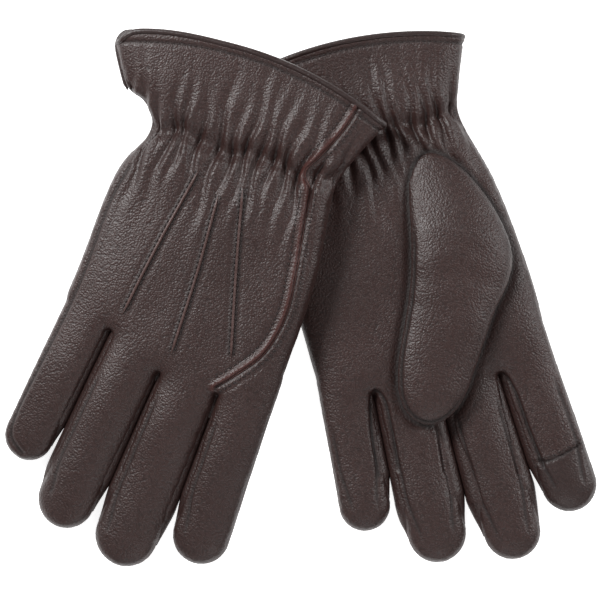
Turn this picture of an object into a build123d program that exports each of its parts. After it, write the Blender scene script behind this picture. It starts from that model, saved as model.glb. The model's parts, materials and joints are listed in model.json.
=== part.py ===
"""A pair of dress leather gloves with a conductive index fingertip, lying one over the other.

The left glove lies palm up on the surface, with its thumb folded over the palm. The right glove lies palm down
on the little-finger edge of the left one, with its thumb folded underneath. Both are lined and gathered on a
wrist elastic below a flared cuff.

Each glove is made in its own flat frame, in millimetres: origin at the middle of the wrist gather, +X to the
index side, +Y to the cuff, Z = 0 half way between back and palm. The pair's frame has its origin at the bottom
centre of the pair's bounding box, +Z up and +Y towards the cuffs.
"""
import os
from math import asin, atan2, cos, degrees, hypot, pi, sin

from build123d import *

# ---- leather, lining and elastic -------------------------------------------------------------------------
LEATHER = 1.1            # thickness of the nappa skin
LINING_GAP = 0.1
LINING = 0.5             # thin knitted lining
ELASTIC = 0.6            # elastic tape sewn over the lining
ELASTIC_WIDTH = 7.0
ELASTIC_SIDE_GAP = 0.6
BINDING = 3.0            # height of the piped edge along the cuff mouth
BINDING_PROUD = 0.6      # how far the piping stands out sideways

LINING_OUT = LEATHER + LINING_GAP
LINING_IN = LINING_OUT + LINING
ELASTIC_OUT = LINING_IN + LINING_GAP
ELASTIC_IN = ELASTIC_OUT + ELASTIC

# ---- hand ------------------------------------------------------------------------------------------------
HAND_THICK = 16.0
HAND_EDGE = 7.2          # rounding where back and palm turn into the sides
FINGER_THICK = 15.0
FINGER_EDGE = 6.9
PANEL_Z = 4.5            # seams between the flat panels and the side strips, above and below Z = 0
WRIST_HALF = 46.0
SIDE_BEND = 20.0         # how sharply the sides turn at the wrist and the heel of the hand
MOUTH_CENTRE = (-12.0, -135.0)   # the cuff's mouth is an arc about this point
MOUTH_RADIUS = 184.0
MOUTH_SPARE = 30.0       # the blank runs on past the mouth before it is trimmed
VENT_WIDTH = 1.5
VENT_BOTTOM = 14.0

# ---- fingers and thumb -----------------------------------------------------------------------------------
FINGER_CLEAR = 0.7       # less than half the smallest gap between two fingers
JOINT_GAP = 0.4          # clearance between the two halves of a finger at its middle joint
TOUCH_PATCH = 30.0       # conductive patch, measured back from the index fingertip
THUMB_GAP = 0.4          # between the palm and the folded thumb
THUMB_HOLE = (20.0, 24.0)

# Each finger: middle of its root, middle of its rounded end, width, and length of the part that bends
LEFT_FINGERS = {
    "little": ((-44, -95), (-55.0, -182), 25, 44),
    "ring": ((-16, -100), (-25.0, -207), 28, 50),
    "middle": ((14, -100), (12.5, -216), 29, 55),
    "index": ((42.5, -100), (45.5, -202), 26.5, 51),
}
RIGHT_FINGERS = {
    "little": ((-46.5, -90), (-62.0, -173), 25, 44),
    "ring": ((-19.0, -95), (-35.0, -199), 28, 50),
    "middle": ((10.0, -95), (-1.0, -208), 29, 55),
    "index": ((38.5, -95), (33.5, -196), 26.5, 51),
}
LEFT_CROTCHES = ((-62, -98), (-30, -116), (-2, -124), (29, -124), (56, -108))
RIGHT_CROTCHES = ((-62, -92), (-36, -106), (-8, -116), (21, -115), (54, -104))

# Each thumb: middle and radius of its sewn-in root, middle and radius of its rounded tip, thickness
LEFT_THUMB = ((29, -47), 24.0, (-4, -125), 17.0, 13.0)
RIGHT_THUMB = ((10, -58), 16.0, (-8, -125), 14.5, 9.5)   # squashed flat under the glove
THUMB_EDGE = 0.45        # edge rounding over thumb thickness

# ---- how the two gloves lie ------------------------------------------------------------------------------
LEFT_WRIST = (31.0, 77.0)
RIGHT_WRIST = (-27.0, 69.0)
LAY_ANGLE = 17.0         # each glove turns this much, fingers outwards
RIGHT_PALM_Z = 18.2      # height of the right palm's outside at the middle of its wrist
RIGHT_ROLL = -4.5        # index side up, because it lies on the other glove
RIGHT_PITCH = 2.3        # cuff up, fingertips down


def solid_list(shape):
    """Every solid in a shape, whatever the boolean left it in."""
    return list(shape.solids())


def join(shapes):
    """One compound of separate solids."""
    solids = [s for shape in shapes for s in solid_list(shape)]
    return solids[0] if len(solids) == 1 else Compound(children=solids)


def box_between(x0, x1, y0, y1, z0, z1):
    centre = ((x0 + x1) / 2, (y0 + y1) / 2, (z0 + z1) / 2)
    return Pos(*centre) * Box(x1 - x0, y1 - y0, z1 - z0)


def pillow(face, thick, edge, inset):
    """A flat outline made into a closed cushion shape, inset all round by the same distance."""
    plan = offset(face, amount=-inset, kind=Kind.INTERSECTION) if inset else face
    height = thick - 2 * inset
    block = Pos(0, 0, -height / 2) * extrude(plan, amount=height)
    rims = block.edges().group_by(Axis.Z)
    return fillet(rims[0] + rims[-1], edge - inset)


def hand_outline(crotches, proud=0.0):
    """Hand and flared cuff seen from above, run on past the mouth, each side standing out by proud."""
    top = MOUTH_RADIUS + MOUTH_CENTRE[1] + MOUTH_SPARE
    index_side = [crotches[-1], (54, -50), (WRIST_HALF - 1.5, 0), (85, top)]
    little_side = [(-96, top), (1.5 - WRIST_HALF, 0), (-61, -50), crotches[0]]
    index_side = [(x + proud, y) for x, y in index_side]
    little_side = [(x - proud, y) for x, y in little_side]
    edges = [
        *FilletPolyline(*index_side, radius=SIDE_BEND).edges(),
        Line(index_side[-1], little_side[0]),
        *FilletPolyline(*little_side, radius=SIDE_BEND).edges(),
        *Polyline(little_side[-1], *crotches[1:-1], index_side[0]).edges(),
    ]
    return make_face(Wire(edges))


def finger_pose(root, tip):
    """Place a finger made along -Y from its root to its tip."""
    angle = degrees(atan2(tip[0] - root[0], root[1] - tip[1]))
    return Pos(root[0], root[1], 0) * Rot(0, 0, angle)


def finger_length(root, tip):
    return hypot(tip[0] - root[0], tip[1] - root[1])


def finger_tube(root, tip, width, inset=0.0):
    length = finger_length(root, tip)
    plan = Pos(0, -length / 2 + width / 4) * SlotOverall(length + width / 2, width, rotation=90)
    return finger_pose(root, tip) * pillow(plan, FINGER_THICK, FINGER_EDGE, inset)


def mouth_disc(short=0.0):
    """Everything on the hand side of the cuff's mouth arc."""
    return Pos(*MOUTH_CENTRE, 0) * Cylinder(MOUTH_RADIUS - short, 200)


def thumb_outline(root, root_radius, tip, tip_radius):
    """Folded thumb over the palm: a wide sewn-in root and a narrower round tip, joined by straight sides."""
    root, tip = Vector(*root), Vector(*tip)
    run = tip - root
    along = atan2(run.Y, run.X)
    lean = asin((root_radius - tip_radius) / run.length)
    rays = [Vector(cos(along + turn), sin(along + turn)) for turn in (pi / 2 - lean, lean - pi / 2)]
    (root_a, tip_a), (root_b, tip_b) = [(root + ray * root_radius, tip + ray * tip_radius) for ray in rays]
    edges = [
        Line(root_a, tip_a),
        ThreePointArc(tip_a, tip + run.normalized() * tip_radius, tip_b),
        Line(tip_b, root_b),
        ThreePointArc(root_b, root - run.normalized() * root_radius, root_a),
    ]
    return make_face(Wire(edges))


def elastic_tape():
    """Flat loop of elastic inside the gathered wrist, just clear of the sloping sides."""
    rings = []
    for inset in (ELASTIC_OUT, ELASTIC_IN):
        width = 2 * (WRIST_HALF - ELASTIC_SIDE_GAP - inset)
        rings.append(RectangleRounded(width, HAND_THICK - 2 * inset, HAND_EDGE - inset))
    section = Plane.XZ * (rings[0] - rings[1])
    return extrude(section, amount=ELASTIC_WIDTH / 2, both=True)


def glove(side, fingers, crotches, palm, thumb):
    """All nodes of one glove in its own frame; palm is +1 with the palm on +Z and -1 with it on -Z."""
    nodes = {}
    blank = hand_outline(crotches)
    far = 400
    thumb_thick = thumb[-1]

    def whole(inset):
        shape = pillow(blank, HAND_THICK, HAND_EDGE, inset)
        for root, tip, width, _ in fingers.values():
            shape += finger_tube(root, tip, width, inset)
        return shape

    def beyond_joint(finger, gap):
        """Everything past a finger's middle joint, no wider than the finger needs."""
        root, tip, width, bend = finger
        reach = width / 2 + FINGER_CLEAR
        start = bend - finger_length(root, tip) - gap
        return finger_pose(root, tip) * box_between(-reach, reach, start - 90, start, -30, 30)

    def slab(z0, z1):
        low, high = sorted((palm * z0, palm * z1))
        return box_between(-far, far, -far, far, low, high)

    back_slab = slab(-60, -PANEL_Z)
    palm_slab = slab(PANEL_Z, 60)
    side_slab = slab(-PANEL_Z, PANEL_Z)

    thumb_hole = Pos(*thumb[0], 0) * extrude(Ellipse(THUMB_HOLE[0] / 2, THUMB_HOLE[1] / 2), amount=40 * palm)
    skin = whole(0)
    inside = whole(LEATHER)
    bent = [beyond_joint(finger, -JOINT_GAP / 2) for finger in fingers.values()]

    # hand leather, trimmed at the mouth for the binding
    leather = (skin - inside) & mouth_disc(BINDING)
    for cutter in bent:
        leather -= cutter
    leather -= thumb_hole
    leather -= box_between(-90, -40, VENT_BOTTOM, 90, -VENT_WIDTH / 2, VENT_WIDTH / 2)
    nodes["back_panel"] = leather & back_slab
    nodes["palm_panel"] = leather & palm_slab
    strips = sorted(solid_list(leather & side_slab), key=lambda s: s.center().X)
    strips = [s for s in strips if s.volume > 20]
    names = ("little_side_panel", "little_ring_gusset", "ring_middle_gusset", "middle_index_gusset", "index_side_panel")
    for name, strip in zip(names, strips, strict=True):
        nodes[name] = strip

    # binding, lining and elastic
    wide = hand_outline(crotches, BINDING_PROUD)
    rim = pillow(wide, HAND_THICK, HAND_EDGE, 0)
    rim -= pillow(blank, HAND_THICK, HAND_EDGE, LINING_IN)
    rim = (rim & mouth_disc(0)) - mouth_disc(BINDING - 0.05)
    nodes["cuff_binding"] = rim - box_between(-90, -40, VENT_BOTTOM, 90, -VENT_WIDTH / 2, VENT_WIDTH / 2)
    liner = (whole(LINING_OUT) - whole(LINING_IN)) & mouth_disc(BINDING + 0.2)
    for cutter in bent:
        liner -= cutter
    nodes["hand_lining"] = liner - thumb_hole
    nodes["wrist_elastic"] = elastic_tape()

    # finger ends
    for name, finger in fingers.items():
        root, tip, width, _ = finger
        past = beyond_joint(finger, JOINT_GAP / 2)
        shell = (finger_tube(root, tip, width) - finger_tube(root, tip, width, LEATHER)) & past
        nodes[f"{name}_back"] = shell & back_slab
        front = shell & palm_slab
        if name == "index":
            length = finger_length(root, tip)
            tip_zone = finger_pose(root, tip) * box_between(-30, 30, -length - 30, TOUCH_PATCH - length, -30, 30)
            nodes["index_touch_patch"] = front & tip_zone
            front = front - tip_zone
        nodes[f"{name}_palm"] = front
        pose = finger_pose(root, tip)
        walls = shell & side_slab
        halves = [walls & (pose * box_between(*x, -far, far, -30, 30)) for x in ((-40, -0.05), (0.05, 40))]
        nodes[f"{name}_sides"] = join(halves)
        liner = finger_tube(root, tip, width, LINING_OUT) - finger_tube(root, tip, width, LINING_IN)
        nodes[f"{name}_lining"] = liner & past

    # folded thumb, on the palm
    lift = palm * (HAND_THICK / 2 + THUMB_GAP + thumb_thick / 2)
    plan = thumb_outline(*thumb[:-1])
    edge = thumb_thick * THUMB_EDGE
    cushion = [Pos(0, 0, lift) * pillow(plan, thumb_thick, edge, inset) for inset in (0, LEATHER, LINING_OUT, LINING_IN)]
    shell = (cushion[0] - cushion[1]) - (thumb_hole & slab(0, HAND_THICK / 2 + THUMB_GAP + thumb_thick / 2))
    outer = box_between(-far, far, -far, far, *sorted((lift, lift + 40 * palm)))
    nodes["thumb_back"] = shell & outer
    nodes["thumb_front"] = shell - outer
    liner = (cushion[2] - cushion[3]) - (thumb_hole & slab(0, HAND_THICK / 2 + THUMB_GAP + thumb_thick / 2))
    nodes["thumb_lining"] = liner
    return {f"{side}_{name}": shape for name, shape in nodes.items()}


LEFT_PLACE = Pos(*LEFT_WRIST, HAND_THICK / 2) * Rot(0, 0, LAY_ANGLE)
RIGHT_PLACE = (
    Pos(*RIGHT_WRIST, RIGHT_PALM_Z + HAND_THICK / 2) * Rot(0, 0, -LAY_ANGLE) * Rot(RIGHT_PITCH, RIGHT_ROLL, 0)
)


def build_pair():
    """Every node of the pair, in the pair's frame, and the move that brought it there."""
    left = glove("left", LEFT_FINGERS, LEFT_CROTCHES, 1, LEFT_THUMB)
    right = glove("right", RIGHT_FINGERS, RIGHT_CROTCHES, -1, RIGHT_THUMB)
    pair = {name: LEFT_PLACE * shape for name, shape in left.items()}
    pair |= {name: RIGHT_PLACE * shape for name, shape in right.items()}
    extent = Compound(children=[s for shape in pair.values() for s in solid_list(shape)]).bounding_box()
    centre = Pos(-extent.center().X, -extent.center().Y, -extent.min.Z)
    return {name: centre * shape for name, shape in pair.items()}, centre


def main():
    os.makedirs("parts", exist_ok=True)
    pair, _ = build_pair()
    for name, shape in pair.items():
        export_step(join([shape]), f"parts/{name}.step")


if __name__ == "__main__":
    main()
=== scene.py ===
"""Looks for a pair of dark brown leather touchscreen gloves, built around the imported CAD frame.

Each glove is made flat in its own frame, in millimetres: the origin is at the middle of the wrist gather, +X
towards the index finger and +Y towards the cuff. It is inflated from its outline, given its seams and folds,
and then placed by its joints.
"""
import json
import math

import bmesh
import bpy
import numpy as np
from mathutils import Matrix, Vector
from mathutils.bvhtree import BVHTree


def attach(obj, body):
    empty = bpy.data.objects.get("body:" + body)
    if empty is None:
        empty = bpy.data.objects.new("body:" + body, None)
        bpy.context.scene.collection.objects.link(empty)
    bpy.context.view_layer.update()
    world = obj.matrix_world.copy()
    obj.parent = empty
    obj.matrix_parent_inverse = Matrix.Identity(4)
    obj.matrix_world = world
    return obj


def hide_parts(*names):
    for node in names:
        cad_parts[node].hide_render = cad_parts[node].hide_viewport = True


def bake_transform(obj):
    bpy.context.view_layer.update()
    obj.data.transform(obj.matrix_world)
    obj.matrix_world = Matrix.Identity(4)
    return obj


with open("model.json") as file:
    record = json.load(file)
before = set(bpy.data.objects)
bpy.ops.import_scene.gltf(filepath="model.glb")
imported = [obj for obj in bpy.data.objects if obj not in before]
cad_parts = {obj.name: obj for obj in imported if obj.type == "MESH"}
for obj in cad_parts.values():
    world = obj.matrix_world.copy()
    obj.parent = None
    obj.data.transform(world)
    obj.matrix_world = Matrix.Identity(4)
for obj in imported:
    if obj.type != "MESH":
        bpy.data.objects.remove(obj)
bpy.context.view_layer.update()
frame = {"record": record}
scene = bpy.context.scene
rng = np.random.default_rng(7)
JOINTS = {j["name"]: j for j in frame["record"]["behaviour"]["joints"]}
FINGERS = ("little", "ring", "middle", "index")
MM = 0.001

# ---- sizes, in millimetres -------------------------------------------------------------------------------
CELL = 0.9               # grid of the inflated outline
VOXEL = 0.85             # remesh of the skin
PUFF = 8.0               # how soon the skin rises from its outline to its full height
HAND_TOP = 8.6           # half thicknesses over and under the outline's plane
HAND_BOTTOM = 7.8
MOUTH_CENTRE = (-12.0, -135.0)
MOUTH_RADIUS = 184.0
HEM = 4.9                # the stitching, in from the cuff's edge
CORNER_X, CORNER_RADIUS = -66.0, 7.0     # rounded corner beside the right cuff's vent
LINING_DEPTH = 1.5       # lining under the skin
CUFF_PIPING = 1.45       # radii of the piping
VENT_PIPING = 1.35
POINT_RIDGE = (0.68, 0.36)    # radius, and height of the middle over the skin
SEAM_RIDGE = (0.4, 0.1)
VENT_EDGE = [(-66.5, 41.0), (-70, 39.6), (-72.2, 36.0), (-71.6, 31), (-66.3, 21.5), (-61.0, 13)]
BLEND_HALF = 9.0         # a finger bends over this much either side of its joint
LAY_ANGLE = 17.0
RIGHT_PITCH, RIGHT_ROLL = 2.3, -4.5

SHAPES = {
    "right": {
        "hand": [(-104, 75), (-81, 41), (-70, 24), (-63.5, 12.5), (-55, 11), (-50, 6.5), (-46.5, 0),
                 (-48, -8), (-56, -20), (-59, -39), (-61, -75), (-64, -95),
                 (-52, -102), (-36, -99), (-21, -109), (-7, -113), (8, -116), (23, -111), (36, -116),
                 (48.5, -108),
                 (50, -83), (51, -60), (50.5, -40), (48, -20), (46, -4), (49, 8), (62, 34), (82, 75)],
        "fingers": {
            "little": ((-49.5, -92), 12.6, (-60.8, -160.8), 12.2),
            "ring": ((-21, -98), 14.0, (-34.5, -184.7), 14.3),
            "middle": ((8, -100), 14.5, (-1.5, -192.5), 15.4),
            "index": ((36, -100), 13.6, (33.2, -182), 14.0),
        },
        "palm": -1,
    },
    "left": {
        "hand": [(-84, 75), (-66, 38), (-47, 3), (-50, -10), (-56, -24), (-58, -42), (-57, -60), (-56, -80),
                 (-57, -100), (-56, -114), (-44, -122), (-31, -118), (-16, -127),
                 (-2, -125), (14, -131), (29, -127),
                 (43, -130), (56, -116), (57.5, -96), (57, -72), (55, -44), (52, -26), (46, -4), (49, 8),
                 (60, 32), (80, 75)],
        "fingers": {
            "little": ((-44, -105), 12.8, (-52, -169.5), 12.5),
            "ring": ((-16, -110), 14.3, (-22.5, -192.5), 14.3),
            "middle": ((14, -112), 14.0, (12.5, -202), 14.0),
            "index": ((42.5, -112), 13.9, (45.5, -188.5), 13.5),
        },
        "palm": 1,
    },
}


# ---- plane geometry --------------------------------------------------------------------------------------
def smooth_loop(points, rounds=3):
    """Corner cutting on a closed outline."""
    p = np.array(points, float)
    for _ in range(rounds):
        q = np.roll(p, -1, axis=0)
        p = np.stack([0.75 * p + 0.25 * q, 0.25 * p + 0.75 * q], axis=1).reshape(-1, 2)
    return p


def curve_through(points, step=1.0):
    """Evenly spaced points on a Catmull-Rom curve through the given ones."""
    p = np.array(points, float)
    p = np.vstack([2 * p[0] - p[1], p, 2 * p[-1] - p[-2]])
    out = []
    for a, b, c, d in zip(p[:-3], p[1:-2], p[2:-1], p[3:]):
        t = np.linspace(0, 1, 24, endpoint=False)[:, None]
        out.append(0.5 * (2 * b + (c - a) * t + (2 * a - 5 * b + 4 * c - d) * t**2
                          + (3 * b - a - 3 * c + d) * t**3))
    out = np.vstack([*out, p[-2:-1]])
    run = np.concatenate([[0], np.cumsum(np.linalg.norm(np.diff(out, axis=0), axis=1))])
    at = np.arange(0, run[-1], step)
    return np.stack([np.interp(at, run, out[:, k]) for k in range(out.shape[1])], axis=1)


def path_distance(xy, path, closed=False):
    """Distance from each point to a polyline, and how far along it the nearest point is (0 to 1)."""
    ends = np.roll(path, -1, axis=0) if closed else path[1:]
    starts = path if closed else path[:-1]
    best = np.full(len(xy), 1e9)
    along = np.zeros(len(xy))
    for i, (a, b) in enumerate(zip(starts, ends)):
        d = b - a
        t = np.clip(((xy - a) @ d) / max(d @ d, 1e-9), 0, 1)
        r = np.linalg.norm(xy - a - t[:, None] * d, axis=1)
        near = r < best
        best[near] = r[near]
        along[near] = (i + t[near]) / len(starts)
    return best, along


def inside(xy, loop):
    """Even-odd test of points against a closed outline."""
    x, y = xy[:, 0], xy[:, 1]
    hit = np.zeros(len(xy), bool)
    for (ax, ay), (bx, by) in zip(loop, np.roll(loop, -1, axis=0)):
        crosses = (ay > y) != (by > y)
        hit ^= crosses & (x < (bx - ax) * (y - ay) / ((by - ay) or 1e-9) + ax)
    return hit


def outline_field(xy, loop):
    """Signed distance to a closed outline, negative inside."""
    d, _ = path_distance(xy, loop, closed=True)
    return np.where(inside(xy, loop), -d, d)


def capsule_field(xy, a, ra, b, rb):
    """Signed distance to a round-ended bar whose radius changes from ra to rb."""
    a, b = np.array(a, float), np.array(b, float)
    d = b - a
    t = np.clip(((xy - a) @ d) / (d @ d), 0, 1)
    return np.linalg.norm(xy - a - t[:, None] * d, axis=1) - (ra + (rb - ra) * t)


def step_up(v, low, high):
    t = np.clip((v - low) / (high - low), 0, 1)
    return t * t * (3 - 2 * t)


def bump(d, width):
    return np.exp(-((d / width) ** 2))


# ---- inflated skins --------------------------------------------------------------------------------------
def inflate(field_of, low, high, top_of, bottom_of, puff=PUFF):
    """A closed mesh over the region where field_of(xy) is negative, rising smoothly from its outline."""
    xs = np.arange(low[0], high[0], CELL)
    ys = np.arange(low[1], high[1], CELL)
    gx, gy = np.meshgrid(xs, ys, indexing="ij")
    xy = np.stack([gx.ravel(), gy.ravel()], axis=1)
    field = field_of(xy).reshape(gx.shape)
    solid = field < 0
    pull = (CELL / puff) ** 2
    rise = np.zeros(gx.shape)
    checker = (np.add.outer(np.arange(len(xs)), np.arange(len(ys))) % 2).astype(bool)
    for _ in range(260):
        for colour in (checker, ~checker):
            around = np.zeros(gx.shape)
            around[1:-1, 1:-1] = rise[2:, 1:-1] + rise[:-2, 1:-1] + rise[1:-1, 2:] + rise[1:-1, :-2]
            fresh = (around + pull) / (4 + pull)
            pick = colour & solid
            rise[pick] += 1.6 * (fresh[pick] - rise[pick])
    rise = np.sqrt(np.clip(rise, 0, 1))
    rim = solid.copy()
    rim[1:-1, 1:-1] &= ~(solid[2:, 1:-1] & solid[:-2, 1:-1] & solid[1:-1, 2:] & solid[1:-1, :-2]
                         & solid[2:, 2:] & solid[:-2, :-2] & solid[2:, :-2] & solid[:-2, 2:])
    slope_x, slope_y = np.gradient(field, CELL)
    size = np.maximum(slope_x**2 + slope_y**2, 0.2)
    px = gx - np.where(rim, field * slope_x / size, 0)
    py = gy - np.where(rim, field * slope_y / size, 0)
    flat = np.stack([px.ravel(), py.ravel()], axis=1)
    up = top_of(flat, rise.ravel())
    down = bottom_of(flat, rise.ravel())
    mid = (up + down) / 2
    rim_flat = rim.ravel()
    up = np.where(rim_flat, mid, up)
    index_top = np.cumsum(solid.ravel()) - 1
    count = int(solid.sum())
    below = solid.ravel() & ~rim_flat
    index_low = np.where(rim_flat, index_top, count + np.cumsum(below) - 1)
    keep = solid.ravel()
    verts = np.vstack([
        np.column_stack([flat[keep], up[keep]]),
        np.column_stack([flat[below], down[below]]),
    ])
    full = solid[:-1, :-1] & solid[1:, :-1] & solid[1:, 1:] & solid[:-1, 1:]
    i, j = np.nonzero(full)
    n = len(ys)
    a, b, c, d = i * n + j, (i + 1) * n + j, (i + 1) * n + j + 1, i * n + j + 1
    faces = [tuple(q) for q in np.stack([index_top[a], index_top[b], index_top[c], index_top[d]], axis=1)]
    faces += [tuple(q) for q in np.stack([index_low[d], index_low[c], index_low[b], index_low[a]], axis=1)
              if len(set(q)) == 4]
    mesh = bpy.data.meshes.new("inflated")
    mesh.from_pydata(verts.tolist(), [], faces)
    return mesh


def remeshed(mesh, name, voxel=VOXEL, rounds=6):
    """Even small quads over the same shape, smoothed."""
    obj = bpy.data.objects.new(name, mesh)
    scene.collection.objects.link(obj)
    modifier = obj.modifiers.new("remesh", "REMESH")
    modifier.mode = "VOXEL"
    modifier.voxel_size = voxel
    smooth = obj.modifiers.new("smooth", "SMOOTH")
    smooth.iterations = rounds
    smooth.factor = 0.5
    graph = bpy.context.evaluated_depsgraph_get()
    graph.update()
    made = bpy.data.meshes.new_from_object(obj.evaluated_get(graph))
    obj.modifiers.clear()
    obj.data = made
    return obj


def coords(mesh):
    out = np.empty(len(mesh.vertices) * 3)
    mesh.vertices.foreach_get("co", out)
    return out.reshape(-1, 3)


def set_coords(mesh, co):
    mesh.vertices.foreach_set("co", co.ravel())
    mesh.update()


def normals(mesh):
    out = np.empty(len(mesh.vertices) * 3)
    mesh.vertex_normals.foreach_get("vector", out)
    return out.reshape(-1, 3)


def paint(mesh, name, values):
    """A number on each vertex, for the material."""
    layer = mesh.attributes.get(name) or mesh.attributes.new(name, "FLOAT", "POINT")
    layer.data.foreach_set("value", np.asarray(values, np.float32))


# ---- materials -------------------------------------------------------------------------------------------
def shader(name):
    material = bpy.data.materials.new(name)
    material.use_nodes = True
    tree = material.node_tree
    return material, tree, tree.nodes["Principled BSDF"]


def link(tree, a, b):
    tree.links.new(a, b)


def mapped(tree, kind, scale, **inputs):
    """A texture node in object space, in which a scale of 1 repeats each metre."""
    place = tree.nodes.get("place") or tree.nodes.new("ShaderNodeTexCoord")
    place.name = "place"
    node = tree.nodes.new(kind)
    node.inputs["Scale"].default_value = scale
    for key, value in inputs.items():
        node.inputs[key].default_value = value
    link(tree, place.outputs["Object"], node.inputs["Vector"])
    return node


def math_node(tree, operation, a, b=None):
    node = tree.nodes.new("ShaderNodeMath")
    node.operation = operation
    for socket, value in zip(node.inputs, (a, b)):
        if value is None:
            continue
        if isinstance(value, (int, float)):
            socket.default_value = value
        else:
            link(tree, value, socket)
    return node.outputs[0]


def mixed(tree, factor, a, b):
    node = tree.nodes.new("ShaderNodeMix")
    node.data_type = "RGBA"
    for socket, value in zip((node.inputs[0], node.inputs[6], node.inputs[7]), (factor, a, b)):
        if isinstance(value, (tuple, int, float)):
            socket.default_value = value
        else:
            link(tree, value, socket)
    return node.outputs[2]


def spread(tree, value, low, high, to_low, to_high):
    node = tree.nodes.new("ShaderNodeMapRange")
    link(tree, value, node.inputs[0])
    for socket, number in zip(node.inputs[1:5], (low, high, to_low, to_high)):
        socket.default_value = number
    return node.outputs[0]


def leather(name, base, deep, rough=0.42, grain=1.0, red=(0.085, 0.016, 0.011, 1)):
    """Satin nappa: pebbles about a millimetre, finer creases, slow tone changes, painted shade in seam
    grooves, worn edges.
    """
    material, tree, bsdf = shader(name)
    pebble = mapped(tree, "ShaderNodeTexVoronoi", 1150, Randomness=1.0)
    pebble.feature = "SMOOTH_F1"
    fine = mapped(tree, "ShaderNodeTexNoise", 1500, Detail=3.0, Roughness=0.6)
    crease = mapped(tree, "ShaderNodeTexNoise", 330, Detail=6.0, Roughness=0.6, Distortion=0.6)
    slow = mapped(tree, "ShaderNodeTexNoise", 22, Detail=3.0, Roughness=0.5)
    height = math_node(tree, "ADD", math_node(tree, "MULTIPLY", pebble.outputs["Distance"], -1.5),
                       math_node(tree, "MULTIPLY", fine.outputs[0], 0.7))
    height = math_node(tree, "ADD", height, math_node(tree, "MULTIPLY", crease.outputs[0], 0.5))
    relief = tree.nodes.new("ShaderNodeBump")
    relief.inputs["Strength"].default_value = 0.4 * grain
    relief.inputs["Distance"].default_value = 0.0005
    link(tree, height, relief.inputs["Height"])
    link(tree, relief.outputs[0], bsdf.inputs["Normal"])
    dull = tuple(c * 0.8 for c in base[:3]) + (1,)
    shade = mixed(tree, spread(tree, slow.outputs[0], 0.3, 0.7, 0, 1), dull, base)
    pits = spread(tree, pebble.outputs["Distance"], 0.15, 0.75, 0.0, 0.8)
    shade = mixed(tree, pits, shade, deep)
    # Painted shade: the 'seam' attribute mixes the colour towards a near-black brown in seam grooves, finger
    # slits and beside the raised thumb.
    seam = tree.nodes.new("ShaderNodeAttribute")
    seam.attribute_name = "seam"
    shade = mixed(tree, seam.outputs["Fac"], shade, tuple(c * 0.4 for c in deep[:3]) + (1,))
    edge = tree.nodes.new("ShaderNodeAttribute")
    edge.attribute_name = "edge"
    shade = mixed(tree, edge.outputs["Fac"], shade, red)
    link(tree, shade, bsdf.inputs["Base Color"])
    gloss = math_node(tree, "ADD", spread(tree, crease.outputs[0], 0.3, 0.7, rough - 0.05, rough + 0.08),
                      math_node(tree, "MULTIPLY", seam.outputs["Fac"], 0.3))
    link(tree, gloss, bsdf.inputs["Roughness"])
    bsdf.inputs["Specular IOR Level"].default_value = 0.45
    return material


def knit(name, colour):
    """Fine brushed lining."""
    material, tree, bsdf = shader(name)
    wave = mapped(tree, "ShaderNodeTexWave", 900, Distortion=2.5, Detail=2.0)
    noise = mapped(tree, "ShaderNodeTexNoise", 900, Detail=4.0)
    relief = tree.nodes.new("ShaderNodeBump")
    relief.inputs["Strength"].default_value = 0.7
    relief.inputs["Distance"].default_value = 0.0004
    link(tree, math_node(tree, "ADD", wave.outputs["Fac"], noise.outputs[0]), relief.inputs["Height"])
    link(tree, relief.outputs[0], bsdf.inputs["Normal"])
    dark = tuple(c * 0.6 for c in colour[:3]) + (1,)
    ribs = spread(tree, wave.outputs["Fac"], 0, 1, 0, 1)
    link(tree, mixed(tree, ribs, dark, colour), bsdf.inputs["Base Color"])
    bsdf.inputs["Roughness"].default_value = 0.95
    bsdf.inputs["Sheen Weight"].default_value = 0.4
    return material


def thread_finish(name, colour):
    material, tree, bsdf = shader(name)
    twist = mapped(tree, "ShaderNodeTexNoise", 3000, Detail=2.0)
    light = tuple(min(1, c * 1.7) for c in colour[:3]) + (1,)
    link(tree, mixed(tree, twist.outputs[0], colour, light), bsdf.inputs["Base Color"])
    bsdf.inputs["Roughness"].default_value = 0.6
    return material


BASE = (0.036, 0.0155, 0.0132, 1)
DEEP = (0.013, 0.0062, 0.0055, 1)
SKIN = leather("nappa", BASE, DEEP)
PATCH = leather("touch_nappa", (0.031, 0.0152, 0.0134, 1), DEEP, rough=0.42, grain=0.7)
PIPING = leather("binding_nappa", (0.026, 0.012, 0.0105, 1), DEEP, rough=0.4, grain=0.6)
LINING = knit("lining_knit", (0.030, 0.020, 0.018, 1))
THREAD = thread_finish("thread", (0.012, 0.006, 0.0055, 1))
RAW_EDGE = thread_finish("raw_edge", (0.036, 0.0095, 0.007, 1))
# Painted highlight: the points' ridges get a leather more than twice as light as the glove's, standing in for
# the light they catch.
LIT_RIDGE_LEATHER = leather("point_nappa_lit", (0.085, 0.046, 0.041, 1), BASE, rough=0.36, grain=0.3)


# ---- where each glove lies -------------------------------------------------------------------------------
def placement(side):
    """Glove frame in millimetres to row frame in metres, worked out from the thumb's joint."""
    if side == "left":
        turn = Matrix.Rotation(math.radians(LAY_ANGLE), 4, "Z")
        base = Vector((29, -47, 8.0))
    else:
        turn = (Matrix.Rotation(math.radians(-LAY_ANGLE), 4, "Z")
                @ Matrix.Rotation(math.radians(RIGHT_PITCH), 4, "X")
                @ Matrix.Rotation(math.radians(RIGHT_ROLL), 4, "Y"))
        base = Vector((10, -58, -8.0))
    origin = Vector(JOINTS[f"{side}_thumb_swing"]["pos_m"]) - turn @ (base * MM)
    return Matrix.Translation(origin) @ turn @ Matrix.Scale(MM, 4)


PLACES = {side: placement(side) for side in SHAPES}


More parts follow.
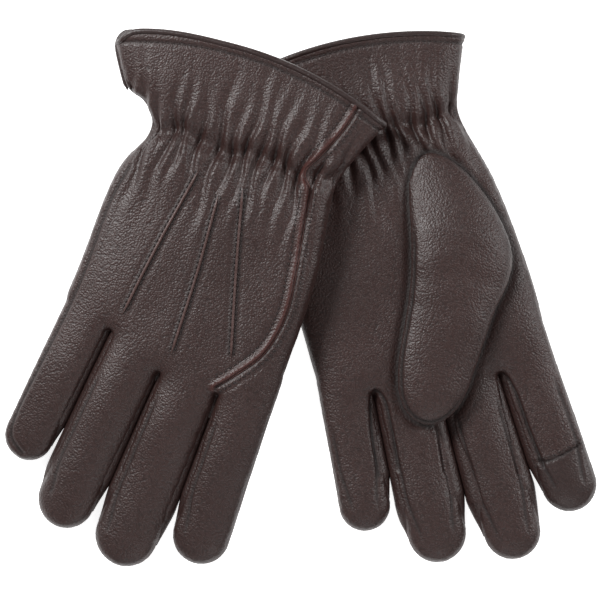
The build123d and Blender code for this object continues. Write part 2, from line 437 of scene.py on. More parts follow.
def sag(side, co):
    """How far the leather settles below its flat shape: the upper glove's fingers and outer edge droop."""
    if side == "left":
        return np.zeros(len(co))
    fingers = 7.0 * step_up(-co[:, 1], 118, 195)
    return fingers + 5.0 * step_up(-co[:, 0], 22, 68) * step_up(-co[:, 1], -60, 150)


def place(obj, side):
    """Settle the piece and move it to its place in the row frame."""
    co = coords(obj.data)
    co[:, 2] -= sag(side, co)
    set_coords(obj.data, co)
    obj.data.transform(PLACES[side])
    co = coords(obj.data)
    co[:, 2] = np.maximum(co[:, 2], 0.0)     # flattened where it lies on the surface
    set_coords(obj.data, co)
    return obj


def finish_piece(obj, side, material):
    obj.data.materials.clear()
    obj.data.materials.append(material)
    for polygon in obj.data.polygons:
        polygon.use_smooth = True
    return place(obj, side)


# ---- seam, fold and point layout of each glove, in its own frame -----------------------------------------
RIGHT_POINTS = [
    [(-17.8, -14), (-26, -52), (-33, -91)], [(-5.3, -22), (-4.2, -60), (-4.8, -102)],
    [(4.8, -15), (13.5, -55), (23.5, -96)],
]
SIDE_SEAM = [(47, 40), (43, 25), (36, 10), (31, 0), (36, -8), (38, -24), (41, -45), (42.5, -68), (38, -88),
             (28, -102), (19, -112)]
RIGHT_EDGE_SEAM = [(-51, -22), (-55, -42), (-57, -75), (-60.5, -100), (-65, -125), (-69.5, -150), (-69, -163),
                   (-61, -170)]
PALM_SEAMS = {
    "little_ring": [(-41, -158), (-38, -138), (-35, -124), (-31, -118), (-28, -124), (-29, -138),
                    (-32, -158)],
    "ring_middle": [(-10, -165), (-7, -145), (-5, -133), (-2, -126), (1, -133), (0, -150), (2, -168)],
    "middle_index": [(24, -176), (26, -155), (27, -138), (29.5, -128), (33, -138), (34, -158), (36, -176)],
}
PATCH_LINE = [(30, -173.5), (40, -174.5), (50, -173), (61, -170)]
THUMB_OUTLINE = [(26, -13), (38, -22), (47, -40), (52, -60), (52, -76), (45, -88), (35, -98), (26, -111),
                 (18, -122), (11, -132), (2, -140), (-9, -143), (-18, -138), (-22, -126), (-18, -110),
                 (-10, -94), (0, -74), (7, -52), (11, -34), (15, -22)]
THUMB_FLAP = [(15, -20), (22, -15), (32, -17), (42, -31), (48, -46), (51, -63), (50.5, -78)]


def hem_distance(co):
    """Distance in from the cuff's mouth, in millimetres."""
    return MOUTH_RADIUS - np.hypot(co[:, 0] - MOUTH_CENTRE[0], co[:, 1] - MOUTH_CENTRE[1])


GATHERS = {
    "right": np.cumsum(rng.uniform(5.2, 9.8, 24)) - 84,
    "left": np.cumsum(rng.uniform(5.2, 9.8, 24)) - 82,
}
GATHER_UP = {side: rng.uniform(0.55, 1.25, 24) for side in GATHERS}
GATHER_DOWN = {side: rng.uniform(0.4, 1.3, 24) for side in GATHERS}


def gather_relief(side, co, upper):
    """Pleats that fan from the elastic into the cuff and the hand, and the pinch at the elastic."""
    x, y = co[:, 0], co[:, 1]
    line = 1.6 * np.sin(x * 0.16 + (0 if upper else 2)) + 0.9 * np.sin(x * 0.37 + 1)
    dy = y - line
    relief = -2.9 * bump(dy, 4.2) * step_up(60 - np.abs(x), 0, 12)
    shrink = 1 + 0.0042 * np.clip(dy, -40, 45) * np.sign(dy + 1e-6) * (dy > 0) + 0.0022 * np.clip(-dy, 0, 40)
    centre = x / shrink
    shift = 0 if upper else 3.7
    for k, at in enumerate(GATHERS[side] + shift):
        up = GATHER_UP[side][(k + (0 if upper else 7)) % 24]
        low = GATHER_DOWN[side][(k + (0 if upper else 5)) % 24]
        wander = 0.9 * np.sin(dy * 0.19 + k * 1.7)
        d = centre - at - wander
        reach = np.where(dy > 0, 19 * up, 21 * low)
        fade = np.exp(-np.abs(dy / reach) ** 1.5)
        width = 1.15 + 0.04 * np.abs(dy)
        relief -= 2.5 * fade * bump(d, width)
        relief += 1.1 * fade * bump(d - 3.0, 1.9)
    return relief


def soft_folds(co, seed, size, depth):
    """Broad uneven swells of soft leather."""
    x, y = co[:, 0], co[:, 1]
    local = np.random.default_rng(seed)
    out = np.zeros(len(co))
    for _ in range(9):
        angle = local.uniform(0, math.pi)
        rate = local.uniform(0.6, 1.5) / size
        phase = local.uniform(0, 6.28)
        bend = local.uniform(0.3, 1.2)
        u = x * math.cos(angle) + y * math.sin(angle)
        v = y * math.cos(angle) - x * math.sin(angle)
        out += np.sin(u * rate + phase + bend * np.sin(v * rate * 0.7)) / 9
    return depth * out * 2


def seam_relief(d, depth=1.0, width=0.9, roll=0.45):
    """A sewn line: a narrow valley between two soft rolls."""
    return -depth * bump(d, width) + roll * bump(d - 2.3, 1.3)


def hand_layers(side, co, n):
    """Height changes along the normal, painted shade in the seam grooves and round the thumb, and red edge
    for the hand skin.
    """
    xy = co[:, :2]
    palm = SHAPES[side]["palm"]
    upward = n[:, 2]
    top = np.clip(upward * 1.6, 0, 1)
    low = np.clip(-upward * 1.6, 0, 1)
    relief = gather_relief(side, co, True) * top + gather_relief(side, co, False) * low
    relief += soft_folds(co, 3 if side == "right" else 5, 9.0, 0.55) * np.clip(np.abs(upward), 0.2, 1)
    # seam holds painted shade: a darkening laid into the grooves of the hem, the points, the side, edge and
    # palm seams, and on the palm round the thumb.
    seam = np.zeros(len(co))
    edge = np.zeros(len(co))
    back = top if palm < 0 else low
    front = low if palm < 0 else top
    hem = hem_distance(co)
    relief += -0.6 * bump(hem - HEM, 0.8) + 0.3 * bump(hem - HEM + 2.0, 1.4)
    seam = np.maximum(seam, 0.55 * bump(hem - HEM, 0.8))
    for line in RIGHT_POINTS:
        path = curve_through(line, 1.5)
        d, along = path_distance(xy, path)
        ends = step_up(along, 0.0, 0.06) * step_up(1 - along, 0.0, 0.04)
        relief += back * ends * (0.35 * bump(d, 1.4) - 0.25 * bump(d - 2.4, 1.2))
        seam = np.maximum(seam, back * ends * 0.5 * bump(d - 1.2, 0.7))
    path = curve_through(SIDE_SEAM, 1.5)
    d, along = path_distance(xy, path)
    side_x = np.sign(np.interp(-xy[:, 1], -path[:, 1], path[:, 0]) - xy[:, 0])
    roll = 0.95 * bump(d - 1.1, 1.0) * (side_x > 0)
    relief += back * (roll - 1.25 * bump(d, 0.8) - 0.35 * bump(d - 4.2, 0.7))
    seam = np.maximum(seam, back * 0.9 * bump(d, 0.7))
    edge = np.maximum(edge, back * 0.45 * bump(d - 1.2, 1.1) * (side_x > 0))
    path = curve_through(RIGHT_EDGE_SEAM, 1.5)
    d, _ = path_distance(xy, path)
    relief += back * seam_relief(d, 0.8, 0.8, 0.25)
    seam = np.maximum(seam, back * 0.75 * bump(d, 0.7))
    for key, line in PALM_SEAMS.items():
        path = curve_through(line, 1.5)
        d, _ = path_distance(xy, path)
        relief += front * seam_relief(d, 0.9, 0.8, 0.3)
        seam = np.maximum(seam, front * 0.85 * bump(d, 0.75))
    if palm > 0:
        hollow = outline_field(xy, smooth_loop(THUMB_OUTLINE))
        relief -= front * 0.9 * bump(hollow - 0.5, 2.2)
        seam = np.maximum(seam, front * 0.8 * bump(hollow, 1.4))
        wrinkle = step_up(-co[:, 1], 8, 20) * step_up(58 + co[:, 1], 0, 25) * front
        wave = np.sin(xy[:, 0] * 0.5 + 2.2 * np.sin(xy[:, 1] * 0.09))
        relief += wrinkle * 0.5 * wave * np.exp(co[:, 1] / 45)
    return relief, seam, edge


def finger_layers(side, name, xy):
    """Gusset seams along both flanks of a finger, as distances from its sides."""
    (a, ra, b, rb) = SHAPES[side]["fingers"][name]
    a, b = np.array(a, float), np.array(b, float)
    run = b - a
    length = np.linalg.norm(run)
    along = (xy - a) @ run / length
    across = (xy - a) @ np.array([run[1], -run[0]]) / length   # positive to the little-finger side
    radius = ra + (rb - ra) * np.clip(along / length, 0, 1)
    return along, across, radius, length


# ---- cutting the skin into the hand and finger pieces ----------------------------------------------------
def finger_planes(side):
    """For each finger, the joint's place and the direction towards the tip, in the glove's frame."""
    inverse = PLACES[side].inverted()
    out = {}
    for name in FINGERS:
        joint = JOINTS[f"{side}_{name}_bend"]
        pivot = inverse @ Vector(joint["pos_m"])
        axis = (inverse.to_3x3() @ Vector(joint["axis"])).normalized()
        towards = Vector((axis.y, -axis.x, 0)).normalized()
        if towards.y > 0:
            towards = -towards
        out[name] = (pivot, towards)
    return out


PLANES = {side: finger_planes(side) for side in SHAPES}


def nearest_finger(side, xy):
    fields = [capsule_field(xy, *SHAPES[side]["fingers"][name]) for name in FINGERS]
    return np.argmin(np.stack(fields), axis=0)


def past_cut(side, xy, spare=0.0):
    """Which finger's moving piece each point belongs to, or -1 for the hand."""
    near = nearest_finger(side, xy)
    out = np.full(len(xy), -1)
    for k, name in enumerate(FINGERS):
        pivot, towards = PLANES[side][name]
        reach = (xy - np.array(pivot.xy)) @ np.array(towards.xy) + BLEND_HALF
        out[(near == k) & (reach > spare)] = k
    return out


def cut_skin(side, mesh):
    """The hand's mesh and one mesh for each finger's moving end, cut square across the fingers."""
    bm = bmesh.new()
    bm.from_mesh(mesh)
    for k, name in enumerate(FINGERS):
        pivot, towards = PLANES[side][name]
        at = pivot - towards * BLEND_HALF
        centres = np.array([f.calc_center_median() for f in bm.faces])
        close = np.abs((centres - np.array(at)) @ np.array(towards)) < 4
        close &= nearest_finger(side, centres[:, :2]) == k
        bm.faces.ensure_lookup_table()
        faces = [bm.faces[i] for i in np.nonzero(close)[0]]
        geom = {e for f in faces for e in f.edges} | {v for f in faces for v in f.verts} | set(faces)
        bmesh.ops.bisect_plane(bm, geom=list(geom), plane_co=at, plane_no=towards, dist=1e-5)
    centres = np.array([f.calc_center_median() for f in bm.faces])
    region = past_cut(side, centres[:, :2])
    made = {}
    for k in range(-1, len(FINGERS)):
        part = bm.copy()
        part.faces.ensure_lookup_table()
        drop = [part.faces[i] for i in np.nonzero(region != k)[0]]
        bmesh.ops.delete(part, geom=drop, context="FACES")
        target = bpy.data.meshes.new("part")
        part.to_mesh(target)
        part.free()
        made[k] = target
    bm.free()
    return made


def mouth_y(x, side="left"):
    """Height of the cuff's edge; the right cuff's vented corner is rounded."""
    arc = MOUTH_CENTRE[1] + np.sqrt(MOUTH_RADIUS**2 - (x - MOUTH_CENTRE[0]) ** 2)
    if side == "left":
        return arc
    past = np.clip(CORNER_X - x, 0, CORNER_RADIUS * 0.97)
    return arc + 1.5 * step_up(-x, 20, 60) - CORNER_RADIUS + np.sqrt(CORNER_RADIUS**2 - past**2)


def open_mouth(mesh, side, short=1.2):
    """Cut the cuff open along its arc."""
    co = coords(mesh)
    rise = mouth_y(np.clip(co[:, 0], -140, 120), side) - short
    co[:, 1] -= rise
    set_coords(mesh, co)
    bm = bmesh.new()
    bm.from_mesh(mesh)
    geom = bm.verts[:] + bm.edges[:] + bm.faces[:]
    bmesh.ops.bisect_plane(bm, geom=geom, plane_co=(0, 0, 0), plane_no=(0, 1, 0), clear_outer=True, dist=1e-4)
    bm.to_mesh(mesh)
    bm.free()
    co = coords(mesh)
    co[:, 1] += mouth_y(np.clip(co[:, 0], -140, 120), side) - short
    set_coords(mesh, co)


def boundary_loop(mesh):
    """Ordered points of the longest open edge."""
    bm = bmesh.new()
    bm.from_mesh(mesh)
    open_edges = [e for e in bm.edges if e.is_boundary]
    links = {}
    for e in open_edges:
        a, b = e.verts
        links.setdefault(a.index, []).append(b.index)
        links.setdefault(b.index, []).append(a.index)
    seen, best = set(), []
    for start in links:
        if start in seen:
            continue
        chain, here, last = [start], start, None
        while True:
            seen.add(here)
            ahead = [v for v in links[here] if v != last and v not in seen]
            if not ahead:
                break
            last, here = here, ahead[0]
            chain.append(here)
        if len(chain) > len(best):
            best = chain
    bm.verts.ensure_lookup_table()
    out = np.array([bm.verts[i].co[:] for i in best])
    bm.free()
    return out


# ---- small pieces ----------------------------------------------------------------------------------------
def tube_mesh(points, radius, sides=12, closed=False, squash=1.0):
    """A round-ended tube along points; radius may change along it."""
    p = np.array(points, float)
    n = len(p)
    ahead = np.roll(p, -1, axis=0) - np.roll(p, 1, axis=0) if closed else np.gradient(p, axis=0)
    ahead /= np.linalg.norm(ahead, axis=1)[:, None] + 1e-9
    up = np.tile([0.0, 0.0, 1.0], (n, 1))
    side = np.cross(ahead, up)
    weak = np.linalg.norm(side, axis=1) < 0.2
    side[weak] = np.cross(ahead[weak], [1.0, 0, 0])
    side /= np.linalg.norm(side, axis=1)[:, None]
    up = np.cross(side, ahead)
    radius = np.broadcast_to(radius, n)
    angle = np.linspace(0, 2 * math.pi, sides, endpoint=False)
    ring = (p[:, None, :] + radius[:, None, None] * (np.cos(angle)[None, :, None] * side[:, None, :]
            + squash * np.sin(angle)[None, :, None] * up[:, None, :]))
    verts = ring.reshape(-1, 3).tolist()
    faces = []
    for i in range(n if closed else n - 1):
        j = (i + 1) % n
        for k in range(sides):
            m = (k + 1) % sides
            faces.append((i * sides + k, j * sides + k, j * sides + m, i * sides + m))
    if not closed:
        faces.append(tuple(range(sides)))
        faces.append(tuple(reversed(range((n - 1) * sides, n * sides))))
    return verts, faces


def mesh_of(name, parts):
    """One object from a list of (vertices, faces)."""
    verts, faces = [], []
    for v, f in parts:
        start = len(verts)
        verts += v
        faces += [tuple(i + start for i in q) for q in f]
    mesh = bpy.data.meshes.new(name)
    mesh.from_pydata(verts, [], faces)
    mesh.update()
    obj = bpy.data.objects.new(name, mesh)
    scene.collection.objects.link(obj)
    return obj


def surface_z(tree, x, y, upper):
    start = Vector((x, y, 60 if upper else -60))
    hit = tree.ray_cast(start, Vector((0, 0, -1 if upper else 1)))
    return hit[0].z if hit[0] is not None else None


def stitch_parts(tree, path, upper, pitch=2.7, long=1.9, thick=0.27, lift=0.1):
    """Short round-ended threads laid on the skin along a path, with where each one is."""
    run = np.concatenate([[0], np.cumsum(np.linalg.norm(np.diff(path, axis=0), axis=1))])
    out = []
    for at in np.arange(pitch / 2, run[-1] - pitch / 2, pitch):
        ts = at + np.linspace(-long / 2, long / 2, 5)
        x, y = np.interp(ts, run, path[:, 0]), np.interp(ts, run, path[:, 1])
        z = [surface_z(tree, a, b, upper) for a, b in zip(x, y)]
        if any(v is None for v in z):
            continue
        arch = np.array([-0.25, 0.12, 0.2, 0.12, -0.25]) + lift
        z = np.array(z) + (arch if upper else -arch)
        radii = thick * np.array([0.45, 0.95, 1.0, 0.95, 0.45])
        out.append(((x[2], y[2]), tube_mesh(np.stack([x, y, z], axis=1), radii, sides=6)))
    return out


def offset_path(path, gap):
    """The path moved sideways in its plane."""
    ahead = np.gradient(path, axis=0)
    ahead /= np.linalg.norm(ahead, axis=1)[:, None] + 1e-9
    return path + gap * np.stack([ahead[:, 1], -ahead[:, 0]], axis=1)


# ---- one glove -------------------------------------------------------------------------------------------
def hand_field(side):
    loop = smooth_loop(SHAPES[side]["hand"])

    def field(xy):
        out = outline_field(xy, loop)
        for bar in SHAPES[side]["fingers"].values():
            out = np.minimum(out, capsule_field(xy, *bar))
        return out
    return field


def full_skin(side):
    """The whole glove skin with its seams and folds, still closed, in its own frame."""
    def level(xy):
        y = xy[:, 1]
        return 1 - 0.10 * bump(y - 2, 16) - 0.12 * step_up(y, 0, 40) - 0.06 * step_up(-y, 95, 130)

    mesh = inflate(
        hand_field(side), (-94, -222), (92, 72),
        lambda xy, rise: HAND_TOP * rise * level(xy),
        lambda xy, rise: -HAND_BOTTOM * rise**0.8 * (0.9 + 0.1 * level(xy)),
    )
    obj = remeshed(mesh, f"{side}_glove_skin")
    mesh = obj.data
    co, n = coords(mesh), normals(mesh)
    relief, seam, edge = hand_layers(side, co, n)
    palm = SHAPES[side]["palm"]
    back = np.clip(-palm * n[:, 2] * 1.6, 0, 1)
    front = np.clip(palm * n[:, 2] * 1.6, 0, 1)
    near = nearest_finger(side, co[:, :2])
    for k, name in enumerate(FINGERS):
        along, across, radius, length = finger_layers(side, name, co[:, :2])
        on = (near == k) & (along > 22) & (along < length + 4)
        flank = radius - 3.4
        for sign in (1, -1):
            if palm < 0 and (sign < 0 or name == "little"):
                continue
            d = np.abs(sign * across - flank + 3.0 * step_up(along, length - 22, length + 3))
            fade = step_up(along, 22, 34) * step_up(length + 4 - along, 0, 8) * on
            amount = fade * (back if palm < 0 else front)
            relief -= amount * 0.75 * bump(d, 0.8)
            # Painted shade in the groove of each finger's flank seam.
            seam = np.maximum(seam, amount * 0.7 * bump(d, 0.7))
    if palm > 0:
        d, _ = path_distance(co[:, :2], curve_through(PATCH_LINE, 1.0))
        relief += front * (-0.8 * bump(d, 0.7) + 0.35 * (co[:, 1] > -173) * bump(d - 1.6, 1.2))
        # Painted shade in the touch pad's seam groove.
        seam = np.maximum(seam, front * 0.8 * bump(d, 0.6))
    co = co + n * relief[:, None]
    if side == "left":
        co[:, 2] = np.maximum(co[:, 2], -7.95)
    set_coords(mesh, co)
    # The painted seam-groove shade, read by the leather's colour.
    paint(mesh, "seam", seam)
    paint(mesh, "edge", edge)
    return obj


def surface_tree(obj):
    bm = bmesh.new()
    bm.from_mesh(obj.data)
    tree = BVHTree.FromBMesh(bm)
    bm.free()
    return tree


def thumb_shape(side):
    """The folded thumb as a closed soft sleeve on the palm."""
    if side == "left":
        loop = smooth_loop(THUMB_OUTLINE, 2)
        root = np.array([29.0, -47.0])
        axis = np.array([-33.0, -78.0]) / 84.7

        def rim_height(xy):
            across = (xy - root) @ np.array([-axis[1], axis[0]])   # positive to the index side
            edge = step_up(-across, -16, 6) * step_up(-xy[:, 1], 22, 62)
            free = np.maximum(step_up(-xy[:, 1], 72, 104), edge)
            return 8.2 + 4.4 * free

        def crown(xy):
            return 12.4 + 9.0 * step_up(-xy[:, 1], 8, 66)
        mesh = inflate(
            lambda xy: outline_field(xy, loop), (-30, -150), (60, -5),
            lambda xy, rise: rim_height(xy) + (crown(xy) - rim_height(xy)) * rise,
            lambda xy, rise: rim_height(xy) - (rim_height(xy) - 7.9) * rise**0.7, puff=11.0,
        )
    else:
        mesh = inflate(
            lambda xy: capsule_field(xy, (10, -58), 16.0, (-8, -125), 14.5), (-30, -145), (35, -35),
            lambda xy, rise: -12.8 + 4.2 * rise,
            lambda xy, rise: -12.8 - 4.9 * rise**0.8,
        )
    obj = remeshed(mesh, f"{side}_thumb_skin")
    co, n = coords(obj.data), normals(obj.data)
    up = np.clip(n[:, 2] * 1.5, 0, 1)
    relief = 0.35 * soft_folds(co, 11, 7.0, 1.0) * np.abs(n[:, 2])
    seam = np.zeros(len(co))
    if side == "left":
        depth = -outline_field(co[:, :2], loop)
        across = (co[:, :2] - root) @ np.array([-axis[1], axis[0]])
        left = step_up(-across, -4, 8) + step_up(-co[:, 1], 128, 140)
        amount = np.clip(left, 0, 1) * step_up(-co[:, 1], 40, 60) * np.clip(n[:, 2] + 0.6, 0, 1)
        relief -= 0.8 * amount * bump(depth - 1.6, 0.9)
        # Painted shadow along the thumb's raised left edge.
        seam = amount * 0.85 * bump(depth - 1.6, 0.8)
        flap, _ = path_distance(co[:, :2], curve_through(THUMB_FLAP, 1.5))
        # Painted shade in the flap's seam groove.
        seam = np.maximum(seam, up * 0.6 * bump(flap, 0.9))
        wrinkle = bump(co[:, 1] + 70, 26) * up
        relief += 0.12 * wrinkle * np.sin((co[:, 0] * 0.36 + co[:, 1] * 0.93) * 0.42 + np.sin(co[:, 0] * 0.2))
    co = co + n * relief[:, None]
    set_coords(obj.data, co)
    paint(obj.data, "seam", seam)
    paint(obj.data, "edge", np.zeros(len(co)))
    return obj


def blend_finger(obj):
    """Bake the piece's transform into its mesh."""
    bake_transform(obj)


def ridge_mesh(name, tree, paths, thick, lift, upper=True):
    """Raised ridges of pinched leather along paths, fading into the skin at both ends."""
    parts = []
    for path in paths:
        z = np.array([surface_z(tree, x, y, upper) or 0.0 for x, y in path])
        run = np.linspace(0, 1, len(path))
        radii = thick * np.clip(np.minimum(run, 1 - run) * 14, 0.15, 1)
        z = z + (lift if upper else -lift)
        parts.append(tube_mesh(np.column_stack([path, z]), radii, sides=8))
    obj = mesh_of(name, parts)
    paint(obj.data, "seam", np.zeros(len(obj.data.vertices)))
    return obj


def fourchette(side, name, other):
    """The gusset strip on a finger's flank towards its neighbour, filling the slit between them."""
    (a, ra, b, rb) = SHAPES[side]["fingers"][name]
    a, b = np.array(a, float), np.array(b, float)
    length = np.linalg.norm(b - a)
    ahead = (b - a) / length
    out = np.array([ahead[1], -ahead[0]])
    if FINGERS.index(other) > FINGERS.index(name):
        out = -out
    along = np.arange(2, length, 1.5)
    flank = ra + (rb - ra) * along / length
    edge = a + along[:, None] * ahead + flank[:, None] * out
    gap = np.clip(capsule_field(edge, *SHAPES[side]["fingers"][other]), 0, None)
    taper = step_up(length - along, 0, length * 0.22)
    stand = np.clip(gap / 2 + 0.25, 0, 4.6) * taper
    radius = (stand + 2.6) * (0.35 + 0.65 * taper)
    path = edge + (stand - radius)[:, None] * out
    drop = -1.2 - 0.8 * np.sin(along / length * math.pi)
    return tube_mesh(np.column_stack([path, drop]), radius, sides=16, squash=1.15)


def touch_patch(side, mesh):
    """The fingertip pad's faces as their own mesh, taken out of the finger's."""
    palm = SHAPES[side]["palm"]
    line = np.array(PATCH_LINE)
    bm = bmesh.new()
    bm.from_mesh(mesh)
    bm.faces.ensure_lookup_table()
    centres = np.array([f.calc_center_median() for f in bm.faces])
    facing = np.array([f.normal.z for f in bm.faces]) * palm
    shift = 0.0 if side == "left" else 7.0
    pad = (centres[:, 1] - shift < np.interp(centres[:, 0], line[:, 0], line[:, 1])) & (facing > -0.12)
    out = []
    for drop in (pad, ~pad):
        part = bm.copy()
        part.faces.ensure_lookup_table()
        bmesh.ops.delete(part, geom=[part.faces[i] for i in np.nonzero(drop)[0]], context="FACES")
        target = bpy.data.meshes.new("part")
        part.to_mesh(target)
        part.free()
        out.append(target)
    bm.free()
    return out


def hand_paths(side):
    """Stitch lines on the upper face of each glove."""
    if side == "right":
        lines = []
        for line in RIGHT_POINTS:
            path = curve_through(line, 1.0)
            lines += [offset_path(path, 1.25), offset_path(path, -1.25)]
        seam = curve_through(SIDE_SEAM, 1.0)
        lines += [offset_path(seam, 4.4), offset_path(seam, -2.6)]
        return lines
    return [offset_path(curve_through(PATCH_LINE, 1.0), -1.9)]


def hem_path():
    """The stitch line round the cuff, a fixed distance in from its arc."""
    x = np.arange(-66, 60, 1.0)
    angle = np.arctan2(mouth_y(x) - MOUTH_CENTRE[1], x - MOUTH_CENTRE[0])
    r = MOUTH_RADIUS - HEM
    return np.stack([MOUTH_CENTRE[0] + r * np.cos(angle), MOUTH_CENTRE[1] + r * np.sin(angle)], axis=1)[::-1]


def ride_hand(obj, side, slot, *nodes):
    """The piece follows the hand, and the CAD nodes it stands for are hidden; its material slot is not used.
    """
    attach(obj, f"{side}_hand")
    if nodes:
        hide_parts(*[f"{side}_{node}" for node in nodes])


def even_painted_shade(obj, shade=0.0):
    """The same level of painted seam shade all over a piece that has no seams of its own."""
    paint(obj.data, "seam", np.full(len(obj.data.vertices), shade))
    return obj


def add_lining(skin, side):
    """The inner lining, seen through the mouth."""
    lining = skin.copy()
    lining.data = skin.data.copy()
    lining.name = f"{side}_glove_lining"
    scene.collection.objects.link(lining)
    co, n = coords(lining.data), normals(lining.data)
    set_coords(lining.data, co - n * LINING_DEPTH)
    lining.data.flip_normals()
    finish_piece(lining, side, LINING)
    ride_hand(lining, side, "lining", "hand_lining", "wrist_elastic")


def add_finger_piece(side, name, obj, material, slot, *nodes):
    """Finish a piece of a finger and hide the CAD nodes it stands for."""
    finish_piece(obj, side, material)
    blend_finger(obj)
    if nodes:
        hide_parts(*[f"{side}_{node}" for node in nodes])


def linked(name, mesh):
    obj = bpy.data.objects.new(name, mesh)
    scene.collection.objects.link(obj)
    return obj


def add_fingers(side, made):
    """Each finger's skin and fourchettes, and the index finger's touch pad."""
    for k, name in enumerate(FINGERS):
        rest = made[k]
        if name == "index":
            rest, pad = touch_patch(side, made[k])
            patch = linked(f"{side}_index_touch_pad", pad)
            add_finger_piece(side, name, patch, PATCH, "touch_leather", "index_touch_patch")
        strips = [fourchette(side, name, FINGERS[m]) for m in (k - 1, k + 1) if 0 <= m < len(FINGERS)]
        # Painted shade: the fourchettes, down in the slits between the fingers, are darkened evenly.
        gusset = even_painted_shade(mesh_of(f"{side}_{name}_fourchettes", strips), 0.1)
        add_finger_piece(side, name, gusset, SKIN, "gusset_leather")
        skin = linked(f"{side}_{name}_skin", rest)
        nodes = [f"{name}_{part}" for part in ("back", "palm", "sides", "lining")]
        add_finger_piece(side, name, skin, SKIN, "leather", *nodes)


def add_back_details(tree):
    """The right glove's points, the raw edge of its side seam, and the two piped edges of its vent."""
    points = [curve_through(line, 1.0) for line in RIGHT_POINTS]
    ridges = ridge_mesh("right_points", tree, points, *POINT_RIDGE)
    # The ridges take the lighter leather, a painted highlight.
    finish_piece(ridges, "right", LIT_RIDGE_LEATHER)
    ride_hand(ridges, "right", "leather")
    raw = ridge_mesh("right_side_seam_edge", tree, [curve_through(SIDE_SEAM, 1.0)], *SEAM_RIDGE)
    finish_piece(raw, "right", RAW_EDGE)
    ride_hand(raw, "right", "leather")
    edge = curve_through(VENT_EDGE, 1.2)
    run = np.linspace(0, 1, len(edge))
    thick = VENT_PIPING * np.clip(np.minimum(run, 1 - run) * 12, 0.35, 1)
    flaps = [tube_mesh(np.column_stack([edge + shift, np.full(len(edge), height)]), thick)
             for shift, height in (((0.0, 0.0), 1.6), ((-1.9, -0.6), -1.4))]
    vent = even_painted_shade(mesh_of("right_vent_piping", flaps))
    finish_piece(vent, "right", PIPING)
    ride_hand(vent, "right", "binding")


def add_piping(side, loop):
    """Piping round the mouth's open edge."""
    closed = np.vstack([loop, loop[:1]])
    steps = np.concatenate([[0], np.cumsum(np.linalg.norm(np.diff(closed, axis=0), axis=1))])
    at = np.arange(0, steps[-1], 1.4)
    ring = np.stack([np.interp(at, steps, closed[:, i]) for i in range(3)], axis=1)
    for _ in range(4):
        ring = 0.5 * ring + 0.25 * (np.roll(ring, 1, axis=0) + np.roll(ring, -1, axis=0))
    inward = ring * [1, 0, 1] - np.array([-4.0, 0, 0])
    inward[:, 0] *= 0.12
    ring -= 0.5 * inward / (np.linalg.norm(inward, axis=1)[:, None] + 1e-9)
    binding = even_painted_shade(mesh_of(f"{side}_cuff_piping", [tube_mesh(ring, CUFF_PIPING, closed=True)]))
    finish_piece(binding, side, PIPING)
    ride_hand(binding, side, "binding", "cuff_binding")


def add_stitching(side, tree):
    """The threads, parted between the hand and the fingers that they cross."""
    threads = [s for path in hand_paths(side) for s in stitch_parts(tree, path, True)]
    threads += stitch_parts(tree, hem_path(), True)
    threads += stitch_parts(tree, hem_path(), False)
    where = past_cut(side, np.array([s[0] for s in threads]))
    for k in range(-1, len(FINGERS)):
        picked = [s[1] for s, w in zip(threads, where) if w == k]
        if not picked:
            continue
        label = "hand" if k < 0 else FINGERS[k]
        obj = mesh_of(f"{side}_{label}_stitching", picked)
        if k < 0:
            finish_piece(obj, side, THREAD)
            ride_hand(obj, side, "leather")
        else:
            add_finger_piece(side, label, obj, THREAD, "leather")


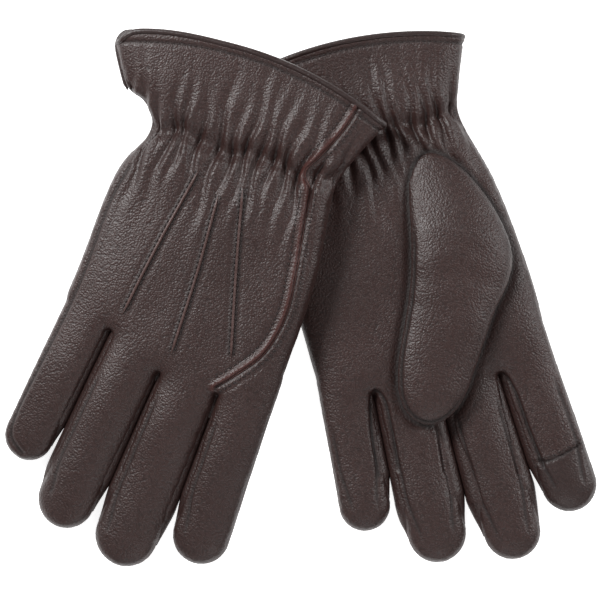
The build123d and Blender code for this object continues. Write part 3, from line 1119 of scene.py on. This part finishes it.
def build_glove(side):
    skin = full_skin(side)
    tree = surface_tree(skin)
    mesh = skin.data
    open_mouth(mesh, side)
    loop = boundary_loop(mesh)
    made = cut_skin(side, mesh)
    skin.data = made[-1]
    add_lining(skin, side)
    finish_piece(skin, side, SKIN)
    ride_hand(skin, side, "leather", "back_panel", "palm_panel", "little_side_panel", "index_side_panel",
              "little_ring_gusset", "ring_middle_gusset", "middle_index_gusset")
    add_fingers(side, made)
    if side == "right":
        add_back_details(tree)
    add_piping(side, loop)
    add_stitching(side, tree)
    thumb = thumb_shape(side)
    finish_piece(thumb, side, SKIN)
    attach(thumb, f"{side}_thumb")
    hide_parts(f"{side}_thumb_back", f"{side}_thumb_front", f"{side}_thumb_lining")


for glove_side in SHAPES:
    build_glove(glove_side)


# ---- floor, light and camera -----------------------------------------------------------------------------
def floor():
    bpy.ops.mesh.primitive_plane_add(size=8)
    plane = bpy.context.object
    plane.name = "floor"
    material, tree, bsdf = shader("floor_white")
    grain = mapped(tree, "ShaderNodeTexNoise", 3, Detail=1.0)
    paper = mixed(tree, grain.outputs[0], (0.95, 0.95, 0.95, 1), (0.97, 0.97, 0.97, 1))
    link(tree, paper, bsdf.inputs["Base Color"])
    bsdf.inputs["Roughness"].default_value = 0.9
    bsdf.inputs["Specular IOR Level"].default_value = 0.0
    bsdf.inputs["Emission Color"].default_value = (1, 1, 1, 1)
    bsdf.inputs["Emission Strength"].default_value = 0.8
    plane.data.materials.append(material)


def softbox(name, position, size, power, target=(0, 0, 0)):
    light = bpy.data.lights.new(name, "AREA")
    light.shape = "RECTANGLE"
    light.size, light.size_y = size
    light.energy = power
    obj = bpy.data.objects.new(name, light)
    scene.collection.objects.link(obj)
    obj.location = position
    obj.rotation_euler = (Vector(target) - Vector(position)).to_track_quat("-Z", "Y").to_euler()


floor()
world = bpy.data.worlds.new("studio")
scene.world = world
world.use_nodes = True
world.node_tree.nodes["Background"].inputs[0].default_value = (1, 1, 1, 1)
world.node_tree.nodes["Background"].inputs[1].default_value = 0.22
softbox("key", (-0.75, 0.6, 0.85), (0.4, 0.4), 19)
softbox("fill", (0.95, 0.3, 0.7), (0.3, 0.6), 8)
softbox("front", (0.1, -1.0, 0.9), (0.9, 0.4), 4)

HEIGHT = 2.4
WIDTH_SEEN = 0.2885
camera = bpy.data.cameras.new("camera")
camera.sensor_width = 36
camera.lens = 36 * HEIGHT / WIDTH_SEEN
eye = bpy.data.objects.new("camera", camera)
scene.collection.objects.link(eye)
eye.location = (0, 0, HEIGHT + 0.018)
eye.rotation_euler = (0, 0, 0)
scene.camera = eye
scene.view_settings.view_transform = "Standard"
